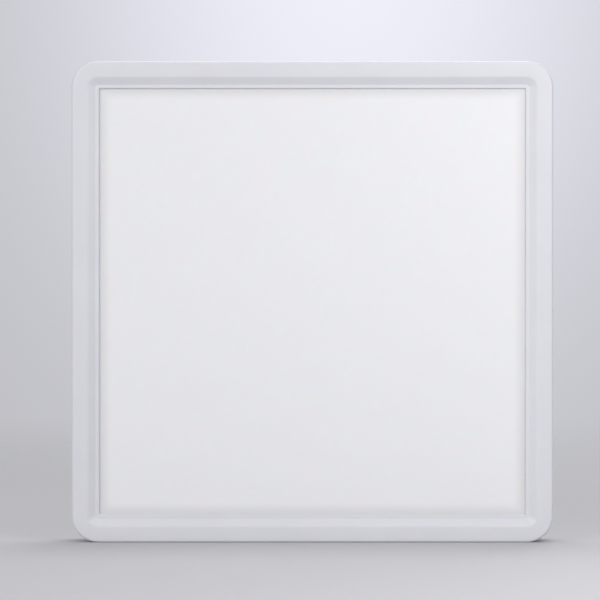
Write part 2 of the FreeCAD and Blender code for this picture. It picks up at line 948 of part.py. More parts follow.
def driver_lid():
    """Sheet lid with a skirt round the case, open where the wires and the selector come out."""
    inner_x = case_length / 2 + lid_gap
    inner_y = case_height / 2 + lid_gap
    corner = case_corner + lid_thickness
    edge = lid_back + lid_skirt
    outer = plate(inner_x + lid_thickness, inner_y + lid_thickness, corner, lid_back, edge, 0, case_middle)
    outer = rounded(outer, lid_thickness, lambda p, e: p.z < lid_back + on_plane)
    hollow = plate(inner_x, inner_y, case_corner, case_rim, edge + through, 0, case_middle)
    lid = outer.cut(hollow)
    back = lid_back - through
    front = case_rim + through
    half_x = (selector_travel + knob_length) / 2 + 2 * knob_gap
    half_y = knob_width / 2 + 2 * knob_gap
    cuts = [plate(half_x, half_y, small_corner, back, front, selector_across, selector_up)]
    reach = bushing_radius + bushing_flange + bushing_room
    left = supply_hole_across - reach
    right = supply_hole_across + reach
    low = case_bottom - lid_gap - lid_thickness - through
    cuts.append(block(left, right, low, case_bottom, case_rim + lid_thickness, edge + through))
    for side in (-1, 1):
        post = side * (case_length / 2 - post_inset)
        cuts.append(rod(post, case_middle, screw_radius + screw_hole_play, back, front))
    for i in range(vent_count):
        x = vent_across + (i - (vent_count - 1) / 2) * vent_pitch
        cuts.append(slot(x, vent_up, vent_length, vent_half_width, back, front, True))
    return lid.cut(cuts).removeSplitter()


def driver_lid_screws():
    tip = case_rim + lid_screw_length
    radius = screw_radius - screw_play
    height = flat_screw_head_height
    post = case_length / 2 - post_inset
    return [screw(x, case_middle, lid_back, tip, radius, height=height) for x in (-post, post)]


def driver_case_screws():
    seat = pan_back - ear_thickness
    tip = reflector_back - pad_end_gap
    radius = screw_radius - screw_play
    return [screw(side * ear_across, case_middle, seat, tip, radius) for side in (-1, 1)]


def on_board(place, size):
    """A package standing on the driver's board, with its upright edges softened."""
    x = place[0]
    y = case_middle + place[1]
    length, width, height = size
    corner = width * package_corner_share
    return plate(length / 2, width / 2, corner, circuit_front - height, circuit_front, x, y)


def driver_board():
    half_x = circuit_board_length / 2
    half_y = circuit_board_height / 2
    return plate(half_x, half_y, small_corner, circuit_front, circuit_back, 0, case_middle)


def can(place, radius, length):
    """An electrolytic capacitor lying on the board, with the groove near its end."""
    x = place[0]
    y = case_middle + place[1]
    z = circuit_front - radius
    body = cross_rod(x - length / 2, x + length / 2, y, z, radius)
    body = rounded(body, can_groove_radius, lambda p, e: True)
    groove = V(x + length / 2 - can_groove_inset, y, z)
    return body.cut(Part.makeTorus(radius + can_groove_lift, can_groove_radius, groove, V(1, 0, 0)))


def bulk_capacitors():
    x, y = bulk_place
    return [can((x, y + side * bulk_pitch / 2), bulk_radius, bulk_length) for side in (-1, 1)]


def output_capacitor():
    return can(output_place, output_radius, output_length)


def fuse():
    return on_board(fuse_place, fuse_size)


def film_capacitor():
    return on_board(film_place, film_size)


def input_choke():
    """Wire-wound choke: a drum with two flanges and the winding between them."""
    x = choke_place[0]
    y = case_middle + choke_place[1]
    top = circuit_front - choke_height
    drum = rod(x, y, choke_radius, top, circuit_front)
    groove = rod(x, y, choke_radius + through, top + choke_flange, circuit_front - choke_flange)
    winding = rod(x, y, choke_radius - choke_groove, top, circuit_front)
    return drum.cut(groove.cut(winding))


def transformer_core():
    """Ferrite frame: two outer legs, a middle leg and two yokes, lying on its coil's bobbin."""
    x = core_place[0]
    y = case_middle + core_place[1]
    foot = circuit_front - core_foot
    top = foot - core_height
    core = block(x - core_length / 2, x + core_length / 2, y - core_width / 2, y + core_width / 2, top, foot)
    reach = core_width / 2 - core_yoke
    inner = core_leg / 2
    outer = core_length / 2 - core_leg
    windows = [
        block(x + inner, x + outer, y - reach, y + reach, top - through, foot + through),
        block(x - outer, x - inner, y - reach, y + reach, top - through, foot + through),
    ]
    return core.cut(windows)


def transformer_coil():
    """Bobbin and tape round the middle leg, standing on the board."""
    x = core_place[0]
    y = case_middle + core_place[1]
    wide = core_length / 2 - core_leg - coil_gap
    reach = core_width / 2 - core_yoke - coil_gap
    foot = circuit_front - core_foot
    top = foot - core_height - coil_proud
    body = block(x - wide, x + wide, y - reach, y + reach, top, circuit_front)
    leg = core_leg / 2 + coil_gap
    return body.cut(
        block(x - leg, x + leg, y - reach - through, y + reach + through, top - through, foot + coil_gap)
    )


def driver_chips():
    """Flat packages on the board: rectifier, controller, switch, diode and shunts."""
    chips = [
        on_board(rectifier_place, rectifier_size),
        on_board(controller_place, controller_size),
        on_board(switch_place, power_package_size),
        on_board(diode_place, power_package_size),
    ]
    return chips + [on_board(place, shunt_size) for place in shunt_places]


def selector_body():
    half_x = selector_length / 2
    half_y = selector_width / 2
    body = plate(half_x, half_y, small_corner, selector_top, circuit_front, selector_across, selector_up)
    well_x = (selector_travel + knob_length) / 2 + knob_gap
    well_y = knob_width / 2 + knob_gap
    floor = selector_top + selector_slot_depth
    well = plate(well_x, well_y, small_corner, selector_top - through, floor, selector_across, selector_up)
    return body.cut(well)


def selector_knob():
    """The knob stands in its well, reaches through the lid and has grooves for a fingernail."""
    top = lid_back - knob_proud
    foot = selector_top + selector_slot_depth - knob_gap
    low = selector_up - knob_width / 2
    left = knob_start - knob_length / 2
    stem = block(left, left + knob_length, low, low + knob_width, top, foot)
    grooves = []
    for i in (-1, 0, 1):
        x = knob_start + i * knob_groove_pitch - knob_groove_width / 2
        end = x + knob_groove_width
        high = low + knob_width + through
        grooves.append(block(x, end, low - through, high, top - through, top + knob_groove_depth))
    return stem.cut(grooves)


# ---- supply terminals

def terminal_base():
    half_x = terminal_half + terminal_ear
    half_y = (terminal_back - terminal_front) / 2
    corner = terminal_base_corner
    base = plate(half_x, half_y, corner, terminal_base_back, pan_back, 0, terminal_middle)
    radius = screw_radius + screw_hole_play
    places = (-terminal_ear_across, terminal_ear_across)
    holes = [rod(x, terminal_middle, radius, 0, pan_back + through) for x in places]
    return base.cut(holes)


def terminal_base_screws():
    tip = reflector_back - pad_end_gap
    radius = screw_radius - screw_play
    places = (-terminal_ear_across, terminal_ear_across)
    return [screw(x, terminal_middle, terminal_base_back, tip, radius) for x in places]


def terminal_block():
    """Moulded block: a lever bay, a wire entry, a contact chamber and a lead hole for each pole."""
    half_y = (terminal_back - terminal_front) / 2
    top = terminal_top
    body = plate(terminal_half, half_y, terminal_corner, top, terminal_base_back, 0, terminal_middle)
    bay = lever_width / 2 + lever_side_gap
    front = lever_hub_up - lever_length - lever_front_gap
    back = lever_hub_up + math.hypot(lever_heel, lever_hub_depth - lever_top) + lever_floor_gap
    floor = lever_top + lever_thickness + lever_floor_gap
    well = lever_hub_radius + lever_hub_gap
    well_floor = lever_hub_depth + well
    pivot = bay + trunnion_reach - lever_side_gap + trunnion_end_gap
    chamber = contact_chamber_width / 2
    entry_end = terminal_front + entry_length
    lead_hole = supply_wire_radius + supply_wire_play
    lead_start = contact_back - through
    lead_end = terminal_back + through
    socket = trunnion_radius + trunnion_play
    cuts = []
    for x in pole_places:
        cuts.append(block(x - bay, x + bay, front, back, top - through, floor))
        cuts.append(block(x - bay, x + bay, lever_hub_up - well, back, top - through, well_floor))
        cuts.append(cross_rod(x - pivot, x + pivot, lever_hub_up, lever_hub_depth, socket))
        cuts.append(upright_rod(x, terminal_front - through, entry_end, entry_depth, entry_radius))
        low = entry_end - contact_mouth
        deep = well_floor - contact_mouth
        cuts.append(block(x - chamber, x + chamber, low, contact_back, deep, terminal_base_back + through))
        cuts.append(upright_rod(x, lead_start, lead_end, supply_wire_depth, lead_hole))
    return body.cut(cuts).removeSplitter()


def terminal_contacts():
    """Copper contact in each pole: a foot on the base and a tab that the lead is joined to."""
    wide = contact_width / 2
    front = terminal_front + entry_length
    deep = terminal_base_back - contact_thickness
    heel = contact_back - contact_thickness
    contacts = []
    for x in pole_places:
        foot = block(x - wide, x + wide, front, contact_back, deep, terminal_base_back)
        tab = block(x - wide, x + wide, heel, contact_back, contact_tab_top, terminal_base_back)
        contacts.append(foot.fuse(tab).removeSplitter())
    return contacts


def terminal_lever(x):
    """Lever on two short trunnions; it lies in its bay when closed and stands up when open."""
    left = x - lever_width / 2
    right = x + lever_width / 2
    tip = lever_hub_up - lever_length
    heel = lever_hub_up + lever_heel
    blade = block(left, right, tip, heel, lever_top, lever_top + lever_thickness)

    def tip_edge(point, edge):
        return abs(point.y - tip) < on_plane and abs(edge.tangentAt(edge.FirstParameter).x) > 1 - on_plane

    blade = rounded(blade, lever_tip_round, tip_edge)
    hub = cross_rod(left, right, lever_hub_up, lever_hub_depth, lever_hub_radius)
    neck = block(left, right, lever_hub_up - lever_neck, heel, lever_top + sink, lever_hub_depth)
    pin_left = left - trunnion_reach
    pin_right = right + trunnion_reach
    pin = cross_rod(pin_left, pin_right, lever_hub_up, lever_hub_depth, trunnion_radius)
    grip_left = left + lever_grip_side
    grip_right = right - lever_grip_side
    deep = lever_top + lever_grip_depth
    grips = []
    for i in range(lever_grip_count):
        low = tip + lever_grip_inset + i * lever_grip_pitch - lever_grip_width / 2
        high = low + lever_grip_width
        grips.append(block(grip_left, grip_right, low, high, lever_top - through, deep))
    return blade.fuse([hub, neck, pin]).cut(grips).removeSplitter()


# ---- wires, bushings and the earth point

def supply_lane(i):
    """Where each of the two supply leads crosses the driver's wall."""
    return supply_hole_across + (i - 0.5) * (2 * supply_wire_radius + supply_wire_gap)


def supply_lead_wires():
    """Line and neutral, from their contacts through the bushing down to the driver's board."""
    landing = case_bottom + supply_landing
    high = (supply_wire_depth + wire_hole_depth) / 2
    wires = []
    for i, x in enumerate(pole_places[:2]):
        lane = supply_lane(i)
        points = [
            V(x, contact_back, supply_wire_depth),
            V(x, contact_back + supply_run, supply_wire_depth),
            V((x + lane) / 2 - supply_sway, contact_back + 2 * supply_run, high),
            V(lane, contact_back + 3 * supply_run, wire_hole_depth),
            V(lane, landing, wire_hole_depth),
            V(lane, landing, circuit_front),
        ]
        wires.append(wire_tube(points, supply_wire_radius))
    return wires


def supply_bushing():
    """Snap bushing in the driver's wall, with a hole for each supply lead."""
    across = supply_hole_across
    depth = wire_hole_depth
    front = case_bottom - bushing_flange
    inner = case_bottom + case_wall
    neck = upright_rod(across, case_bottom, inner, depth, bushing_radius - screw_play)
    collar = upright_rod(across, front, case_bottom, depth, bushing_radius + bushing_flange)
    lock = upright_rod(across, inner, inner + bushing_lock, depth, bushing_radius + bushing_lock_lip)
    start = front - through
    end = inner + bushing_lock + through
    radius = supply_wire_radius + screw_play
    holes = [upright_rod(supply_lane(i), start, end, depth, radius) for i in (0, 1)]
    return collar.fuse([neck, lock]).cut(holes).removeSplitter()


def led_lead_wires():
    """Two leads from the driver's board, out through its wall, through the pan to the right board."""
    depth = wire_hole_depth
    start = circuit_board_length / 2 - lead_landing_inset
    floor = (pad_back + reflector_back) / 2
    bend = lead_long_bend
    wires = []
    for i in (-1, 1):
        up = grommet_up + i * (lead_wire_radius + lead_wire_gap / 2)
        points = [
            V(start, up, circuit_front),
            V(start, up, depth),
            V(start + lead_straight, up, depth),
            V(grommet_across - lead_fall_length, up, depth + lead_fall),
            V(grommet_across, up, depth + lead_dip),
            V(grommet_across, up, floor),
            V(board_face, up, floor),
        ]
        radii = [lead_board_bend, bend, bend, lead_dip_bend, lead_pan_bend]
        wires.append(wire_tube(points, lead_wire_radius, radii))
    return wires


def pan_grommet():
    """Rubber grommet in the pan, with flanges on both of its faces."""
    x = grommet_across
    y = grommet_up
    back_face = pan_back - grommet_rim
    ring = rod(x, y, grommet_hole_radius - screw_play, pan_back, pad_back)
    back = rod(x, y, grommet_hole_radius + grommet_rim, back_face, pan_back)
    back = rounded(back, grommet_rim / 2, lambda p, e: p.z < back_face + on_plane)
    front_face = pad_back + grommet_front_thickness
    front = rod(x, y, grommet_hole_radius + grommet_front_rim, pad_back, front_face)
    half_x = lead_wire_radius + grommet_bore_play
    half_y = 2 * lead_wire_radius + lead_wire_gap
    bore = plate(half_x, half_y, lead_wire_radius, back_face - through, front_face + through, x, y)
    way_half = half_y + grommet_bore_play
    way = block(x, x + 2 * grommet_hole_radius, y - way_half, y + way_half, pad_back, front_face + through)
    return ring.fuse([back, front]).cut([bore, way]).removeSplitter()


def earth_wire():
    """Earth lead from the third contact to its ring on the pan."""
    x = pole_places[-1]
    barrel = pan_back - earth_ring_thickness - earth_barrel_radius
    end = earth_across - earth_ring_radius - earth_barrel_gap
    second = contact_back + earth_first_run
    points = [
        V(x, contact_back, supply_wire_depth),
        V(x, second, supply_wire_depth),
        V(x + earth_sway, second + earth_second_run, barrel),
        V(x + earth_turn, earth_up, barrel),
        V(end, earth_up, barrel),
    ]
    return wire_tube(points, supply_wire_radius)


def earth_ring():
    """Crimped ring terminal: barrel on the wire's end, neck, and ring under the earth screw."""
    depth = pan_back - earth_ring_thickness
    barrel_depth = depth - earth_barrel_radius
    start = earth_across - earth_ring_radius - earth_barrel_gap
    end = start + earth_barrel_length
    wide = earth_neck_half_width
    ring = rod(earth_across, earth_up, earth_ring_radius, depth, pan_back)
    neck = block(start, earth_across - screw_radius, earth_up - wide, earth_up + wide, depth, pan_back)
    riser = block(start, end, earth_up - wide, earth_up + wide, barrel_depth, pan_back)
    barrel = cross_rod(start, end, earth_up, barrel_depth, earth_barrel_radius)
    hole = rod(earth_across, earth_up, screw_radius + screw_play, 0, body_depth)
    return ring.fuse([neck, riser, barrel]).cut(hole).removeSplitter()


def earth_screw():
    seat = pan_back - earth_ring_thickness
    return screw(earth_across, earth_up, seat, reflector_back - pad_end_gap, screw_radius - screw_play)


# ---- writing

def stood_up(shape):
    """From the drawing's depth axis to the row, where the light stands as it is seen."""
    copy = shape.copy()
    copy.rotate(V(0, 0, 0), V(1, 0, 0), 90)
    return copy


def write(name, shape):
    solids = shape if isinstance(shape, list) else [shape]
    stood = [stood_up(solid) for solid in solids]
    whole = stood[0] if len(stood) == 1 else Part.makeCompound(stood)
    whole.exportStep("parts/" + name + ".step")
    print(name, len(whole.Solids), round(whole.Volume, 1), whole.isValid())


os.makedirs("parts", exist_ok=True)

write("mounting_plate", mounting_plate())
write("right_spring_clip", right_spring_clip())
write("left_spring_clip", mirrored(right_spring_clip()))
write("clip_rivets", clip_rivets())
write("ground_screw", ground_screw())
write("ground_washer", ground_washer())

write("bezel_frame", bezel_frame())
write("diffuser", diffuser())
write("light_guide", light_guide())
write("reflector_sheet", reflector_sheet())
write("foam_pad", foam_pad())
write("rear_pan", rear_pan())
write("pan_screws", pan_screws())
for quarters, side in enumerate(("top", "left", "bottom", "right")):
    write(side + "_led_board", turned(led_board(), quarters))
    write(side + "_leds", [turned(one, quarters) for one in led_row()])
write("guide_pads", guide_pads())
write("board_link_wires", board_link_wires())
write("right_catch_bracket", right_catch_bracket())
write("left_catch_bracket", mirrored(right_catch_bracket()))
write("catch_rivets", catch_rivets())

write("driver_case", driver_case())
write("driver_case_screws", driver_case_screws())
write("driver_lid", driver_lid())
write("driver_lid_screws", driver_lid_screws())
write("driver_board", driver_board())
write("fuse", fuse())
write("input_choke", input_choke())
write("film_capacitor", film_capacitor())
write("bulk_capacitors", bulk_capacitors())
write("transformer_core", transformer_core())
write("transformer_coil", transformer_coil())
write("output_capacitor", output_capacitor())
write("driver_chips", driver_chips())
write("selector_body", selector_body())
write("selector_knob", selector_knob())

write("terminal_base", terminal_base())
write("terminal_base_screws", terminal_base_screws())
write("terminal_block", terminal_block())
write("terminal_contacts", terminal_contacts())
for x, use in zip(pole_places, ("line", "neutral", "earth")):
    write(use + "_terminal_lever", terminal_lever(x))

write("supply_lead_wires", supply_lead_wires())
write("supply_bushing", supply_bushing())
write("led_lead_wires", led_lead_wires())
write("pan_grommet", pan_grommet())
write("earth_wire", earth_wire())
write("earth_ring", earth_ring())
write("earth_screw", earth_screw())
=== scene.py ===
import json
import math
import bmesh
import bpy
import numpy as np
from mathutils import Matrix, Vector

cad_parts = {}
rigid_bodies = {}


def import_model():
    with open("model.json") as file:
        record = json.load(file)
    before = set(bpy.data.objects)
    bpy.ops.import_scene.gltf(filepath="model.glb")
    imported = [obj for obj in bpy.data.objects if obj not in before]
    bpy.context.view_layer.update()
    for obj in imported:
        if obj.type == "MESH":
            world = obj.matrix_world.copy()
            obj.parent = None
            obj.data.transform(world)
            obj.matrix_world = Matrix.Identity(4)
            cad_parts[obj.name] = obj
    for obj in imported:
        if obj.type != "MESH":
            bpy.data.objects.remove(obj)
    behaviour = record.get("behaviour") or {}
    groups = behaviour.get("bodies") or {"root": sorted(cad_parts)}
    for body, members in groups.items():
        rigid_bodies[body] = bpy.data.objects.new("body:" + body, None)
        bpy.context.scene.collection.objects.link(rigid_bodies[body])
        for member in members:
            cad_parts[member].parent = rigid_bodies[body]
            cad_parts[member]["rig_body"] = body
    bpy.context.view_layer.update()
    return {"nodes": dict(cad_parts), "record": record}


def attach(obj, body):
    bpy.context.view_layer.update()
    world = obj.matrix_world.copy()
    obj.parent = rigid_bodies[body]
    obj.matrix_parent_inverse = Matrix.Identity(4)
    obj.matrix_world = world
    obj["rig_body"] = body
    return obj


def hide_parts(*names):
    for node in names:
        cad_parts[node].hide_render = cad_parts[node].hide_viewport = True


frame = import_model()
nodes = frame["nodes"]


# ---- Ceiling plate: a plate with rounded corners and two folded arms, punched from 1.5 mm
# galvanised sheet and screwed to the ceiling box. The punch rolls its cut edges slightly over.

def wired(tree, kind, inputs=None, **settings):
    """A node of one kind; each input takes a number, a colour or another node's output."""
    node = tree.nodes.new(kind)
    for key, value in settings.items():
        setattr(node, key, value)
    for key, value in (inputs or {}).items():
        if isinstance(value, bpy.types.NodeSocket):
            tree.links.new(value, node.inputs[key])
        else:
            node.inputs[key].default_value = value
    return node


def maths(tree, operation, *values):
    """The outcome of one Math node on its values, in the order in which they are given."""
    inputs = dict(enumerate(values))
    return wired(tree, "ShaderNodeMath", inputs, operation=operation).outputs[0]


def blank(name, colour, rough, metal=0.0, **sockets):
    """A new material whose even values are written on its shader's own sockets."""
    mat = bpy.data.materials.new(name)
    mat.use_nodes = True
    mat.diffuse_color = (*colour, 1)
    shader = mat.node_tree.nodes["Principled BSDF"]
    shader.inputs["Base Color"].default_value = (*colour, 1)
    shader.inputs["Roughness"].default_value = rough
    shader.inputs["Metallic"].default_value = metal
    for key, value in sockets.items():
        shader.inputs[key.replace("_", " ")].default_value = value
    return mat, mat.node_tree, shader


def place(tree, stretch=(1, 1, 1)):
    """Object coordinates in metres, squeezed along each axis by the stretch."""
    coords = wired(tree, "ShaderNodeTexCoord")
    return wired(
        tree, "ShaderNodeMapping", {"Vector": coords.outputs["Object"], "Scale": stretch},
    ).outputs["Vector"]


def cloud(tree, cell, detail=2.0, stretch=(1, 1, 1)):
    """Noise from 0 to 1 whose blotches are about one cell, in metres, across."""
    return wired(
        tree, "ShaderNodeTexNoise",
        {"Vector": place(tree, stretch), "Scale": 1 / cell, "Detail": detail},
    ).outputs["Fac"]


def cells(tree, cell, randomness, **settings):
    """A Voronoi pattern whose cells are about one cell, in metres, across."""
    return wired(
        tree, "ShaderNodeTexVoronoi",
        {"Vector": place(tree), "Scale": 1 / cell, "Randomness": randomness}, **settings,
    )


def between(tree, value, low, high, first=0.3, last=0.7):
    """The value carried in a straight line from first..last to low..high."""
    return wired(
        tree, "ShaderNodeMapRange",
        {"Value": value, "From Min": first, "From Max": last, "To Min": low, "To Max": high},
    ).outputs["Result"]


def tinted(tree, share, dark, light):
    """The colour that lies the given share of the way from dark to light."""
    node = wired(tree, "ShaderNodeMix", {"Factor": share}, data_type="RGBA")
    node.inputs["A"].default_value = (*dark, 1)
    node.inputs["B"].default_value = (*light, 1)
    return node.outputs["Result"]


def raised(tree, shader, *layers):
    """Bump from several heights, each given as (height from 0 to 1, real depth in metres)."""
    normal = None
    for height, depth in layers:
        inputs = {"Height": height, "Distance": depth, "Strength": 1.0}
        if normal is not None:
            inputs["Normal"] = normal
        normal = wired(tree, "ShaderNodeBump", inputs).outputs["Normal"]
    tree.links.new(normal, shader.inputs["Normal"])


def galvanised(name, colour, cell):
    """Hot-dip zinc: crystals of about one cell across, each with its own grey and gloss. How
    light a crystal is comes from its own random number times a slow smear over the sheet."""
    mat, tree, shader = blank(name, colour, rough=0.4, metal=1.0)
    crystals = cells(tree, cell, randomness=1.0)
    own = wired(tree, "ShaderNodeSeparateColor", {"Color": crystals.outputs["Color"]})
    smear = cloud(tree, cell=0.018, detail=3.0)
    share = between(tree, maths(tree, "MULTIPLY", own.outputs["Red"], smear), 0, 1, 0.1, 0.6)
    dark = tuple(0.9 * c for c in colour)
    light = tuple(min(1.07 * c, 0.9) for c in colour)
    tree.links.new(tinted(tree, share, dark, light), shader.inputs["Base Color"])
    gloss = between(tree, own.outputs["Green"], 0.3, 0.5, 0, 1)
    tree.links.new(gloss, shader.inputs["Roughness"])
    rolled = cloud(tree, cell=0.0006, detail=1.0, stretch=(1, 1, 0.06))
    raised(tree, shader, (own.outputs["Blue"], 0.000006), (rolled, 0.000004))
    return mat


def merged(node):
    """A copy of a CAD node's mesh with its loose triangles joined and its flat faces made whole."""
    shape = bmesh.new()
    shape.from_mesh(nodes[node].data)
    bmesh.ops.remove_doubles(shape, verts=shape.verts, dist=2e-6)
    bmesh.ops.dissolve_limit(
        shape, angle_limit=math.radians(0.3), verts=shape.verts, edges=shape.edges,
    )
    mesh = bpy.data.meshes.new(node + "_made")
    shape.to_mesh(mesh)
    shape.free()
    return mesh


def shown(name, mesh, finish, body, slot, edge=0.0, sharp=35):
    """An object made of a mesh: smooth up to the sharp angle, its edges rounded to a radius."""
    piece = bpy.data.objects.new(name, mesh)
    bpy.context.scene.collection.objects.link(piece)
    mesh.materials.clear()
    mesh.materials.append(finish)
    mesh.polygons.foreach_set("use_smooth", np.ones(len(mesh.polygons), bool))
    mesh.set_sharp_from_angle(angle=math.radians(sharp))
    if edge:
        bevel = piece.modifiers.new("rolled_edge", "BEVEL")
        bevel.width = edge
        bevel.segments = 2
        bevel.limit_method = "ANGLE"
        bevel.angle_limit = math.radians(sharp)
        bevel.harden_normals = True
    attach(piece, body)
    return piece


def slot_of(node):
    """The record's material slot of a CAD node."""
    return next(e["material_slot"] for e in frame["record"]["subparts"] if e["node"] == node)


def dressed(node, finish, **roll):
    """The softened copy that stands for a CAD node, on the node's own body."""
    body = nodes[node]["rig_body"]
    piece = shown(node + "_made", merged(node), finish, body, slot_of(node), **roll)
    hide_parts(node)
    return piece


zinc = galvanised("galvanised_sheet", (0.6, 0.61, 0.63), cell=0.0055)
dressed("mounting_plate", zinc, edge=0.00018)


# ---- Spring clips and their rivets: 0.5 mm spring steel strips, bent back on themselves and
# riveted to the arms. The catches of the light snap past their noses.

def brushed(name, colour, rough, grain, along=2):
    """Rolled or drawn steel: fine scratches of one grain's width, long along one axis."""
    mat, tree, shader = blank(name, colour, rough, metal=1.0)
    stretch = [1.0, 1.0, 1.0]
    stretch[along] = 0.03
    lines = cloud(tree, cell=grain, stretch=stretch)
    haze = between(tree, cloud(tree, cell=0.006), 0, 1)
    dark = tuple(0.86 * c for c in colour)
    tree.links.new(tinted(tree, haze, dark, colour), shader.inputs["Base Color"])
    gloss = between(tree, lines, rough - 0.07, rough + 0.09)
    tree.links.new(gloss, shader.inputs["Roughness"])
    raised(tree, shader, (lines, 0.000004))
    return mat


spring = brushed("spring_strip", (0.47, 0.48, 0.5), rough=0.26, grain=0.0002)
rivet_metal = brushed("rivet_steel", (0.58, 0.59, 0.61), rough=0.34, grain=0.0003, along=1)
for side in ("right", "left"):
    dressed(side + "_spring_clip", spring, edge=0.0001)
dressed("clip_rivets", rivet_metal, edge=0.00008, sharp=40)


# ---- Earthing point of the plate: a green-lacquered steel screw on a plain washer, driven
# through the left arm, for the bare wire of the ceiling box.

def coated(name, colour, rough, cell, depth, drift=0.05, wear=None, **sockets):
    """A moulded, painted or dipped skin: its colour drifts over centimetres and its gloss over
    millimetres, its texture has one cell's width and stands proud by the depth. Wear, if given,
    is the colour of what shows through on small rubbed spots."""
    mat, tree, shader = blank(name, colour, rough, **sockets)
    slow = between(tree, cloud(tree, cell=0.03), 0, 1)
    dark = tuple((1 - drift) * c for c in colour)
    light = tuple(min(1.0, (1 + 0.4 * drift) * c) for c in colour)
    skin = tinted(tree, slow, dark, light)
    if wear:
        rubbed = between(tree, cloud(tree, cell=0.0012, detail=4.0), 0, 0.8, 0.6, 0.7)
        skin = wired(tree, "ShaderNodeMix", {"Factor": rubbed, "A": skin}, data_type="RGBA")
        skin.inputs["B"].default_value = (*wear, 1)
        skin = skin.outputs["Result"]
    tree.links.new(skin, shader.inputs["Base Color"])
    gloss = between(tree, cloud(tree, cell=0.004, detail=3.0), rough - 0.04, rough + 0.05)
    tree.links.new(gloss, shader.inputs["Roughness"])
    raised(tree, shader, (cloud(tree, cell, detail=1.5), depth))
    return mat


green_lacquer = coated(
    "green_lacquer", (0.03, 0.26, 0.09), rough=0.3, cell=0.0008, depth=0.00001,
    wear=(0.4, 0.42, 0.4),
)
dressed("ground_screw", green_lacquer, edge=0.0001)
dressed("ground_washer", zinc, edge=0.0001)


# ---- Frame of the light: one injection moulding in white plastic, a 2 mm shell with a flat band,
# a slope and a narrow ledge round the panel's window; ribs and screw bosses stand on its inside.

def rounded_section(corners, samples):
    """The closed section whose corners, given as (reach, depth, radius), are struck with arcs.
    Each arc's centre lies on the corner's bisector at radius / sin(half the opening), and its
    points turn from one tangent point to the other in equal angles."""
    table = np.array(corners, float)
    tips = table[:, :2]
    radii = table[:, 2:3]
    to_last = np.roll(tips, 1, 0) - tips
    to_next = np.roll(tips, -1, 0) - tips
    to_last /= np.linalg.norm(to_last, axis=1, keepdims=True)
    to_next /= np.linalg.norm(to_next, axis=1, keepdims=True)
    half_open = np.arccos(np.clip((to_last * to_next).sum(1, keepdims=True), -1, 1)) / 2
    bisector = to_last + to_next
    bisector /= np.linalg.norm(bisector, axis=1, keepdims=True)
    centres = tips + bisector * radii / np.sin(half_open)
    first = ((tips + to_last * radii / np.tan(half_open) - centres) / radii)[:, None]
    last = ((tips + to_next * radii / np.tan(half_open) - centres) / radii)[:, None]
    turn = np.pi - 2 * half_open[:, :, None]
    share = np.linspace(0, 1, samples)[None, :, None]
    arms = (np.sin((1 - share) * turn) * first + np.sin(share * turn) * last) / np.sin(turn)
    return (centres[:, None] + radii[:, None] * arms).reshape(-1, 2)


def round_the_square(reach, corner, arc_steps=20, side_steps=12):
    """Points in order round a square of half-width reach with corners of the given radius: for
    each quarter an arc, centre + radius * (cos, sin), then the straight side that follows it,
    turned by 90 degrees for the next quarter. Both values are arrays; the result adds an axis."""
    reach = np.asarray(reach, float)[:, None]
    corner = np.asarray(corner, float)[:, None]
    angle = np.linspace(0, np.pi / 2, arc_steps)[None]
    centre = reach - corner
    arc = np.stack([centre + corner * np.cos(angle), centre + corner * np.sin(angle)], -1)
    share = np.linspace(0, 1, side_steps + 1)[None, 1:-1]
    side = np.stack([centre * (1 - 2 * share), reach + 0 * share], -1)
    quarter = np.concatenate([arc, side], 1)
    turns = [quarter]
    for _ in range(3):
        quarter = np.stack([-quarter[..., 1], quarter[..., 0]], -1)
        turns.append(quarter)
    return np.concatenate(turns, 1)


def ring_mesh(name, points):
    """A mesh over a grid of points (rows, columns, 3) that closes both ways: one quad between
    each four neighbours, with its faces turned outwards by the sign of its volume."""
    index = np.arange(points.size // 3).reshape(points.shape[:2])
    down = np.roll(index, -1, 0)
    across = np.roll(index, -1, 1)
    down_across = np.roll(down, -1, 1)
    faces = np.stack([index, across, down_across, down], -1).reshape(-1, 4)
    flat = points.reshape(-1, 3)
    a, b, c, d = (flat[faces[:, k]] for k in range(4))
    volume = (np.cross(b - a, c - a) * a).sum() + (np.cross(c - a, d - a) * a).sum()
    if volume < 0:
        faces = faces[:, ::-1]
    mesh = bpy.data.meshes.new(name)
    mesh.from_pydata(flat.tolist(), [], faces.tolist())
    return mesh


def moulded(name, mesh, **roll):
    """One piece of the frame's moulding; together they stand for the frame."""
    piece = shown(name, mesh, white_moulding, "light_unit", "white_frame", **roll)
    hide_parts("bezel_frame")


white_moulding = coated(
    "white_moulding", (0.695, 0.695, 0.732), rough=0.4, cell=0.00035, depth=0.000005, drift=0.02,
    Subsurface_Weight=0.06, Subsurface_Scale=0.002, Specular_IOR_Level=0.5,
)

# Reaches from the middle of the light, from its edge inwards, and depths from the ceiling down.
half = 0.15
wall_inside = 0.148
band_end = 0.140
seat_side = 0.1395
slope_end = 0.1354
window = 0.133
rim = 0.0005
ledge_back = 0.0255
ledge_front = 0.027
band_back = 0.028
front = 0.030
frame_section = rounded_section([
    (half, rim, 0.0005),
    (half, front, 0.0016),
    (band_end, front, 0.0030),
    (slope_end, ledge_front, 0.0004),
    (window, ledge_front, 0.0006),
    (window, ledge_back, 0.00015),
    (seat_side, ledge_back, 0.0001),
    (seat_side, band_back, 0.0002),
    (wall_inside, band_back, 0.0005),
    (wall_inside, rim, 0.0003),
], samples=9)

# The corners' arcs share one centre, so their radius is 16.5 mm outside and shrinks inwards.
corner_centre = 0.1335
least_radius = 0.0008
radius = np.maximum(frame_section[:, 0] - corner_centre, least_radius)
loops = round_the_square(frame_section[:, 0], radius)
depth = np.broadcast_to(-frame_section[:, 1, None], loops.shape[:2])
shell = ring_mesh("bezel_shell", np.stack([loops[..., 0], depth, loops[..., 1]], -1))
moulded("bezel_shell", shell, sharp=60)


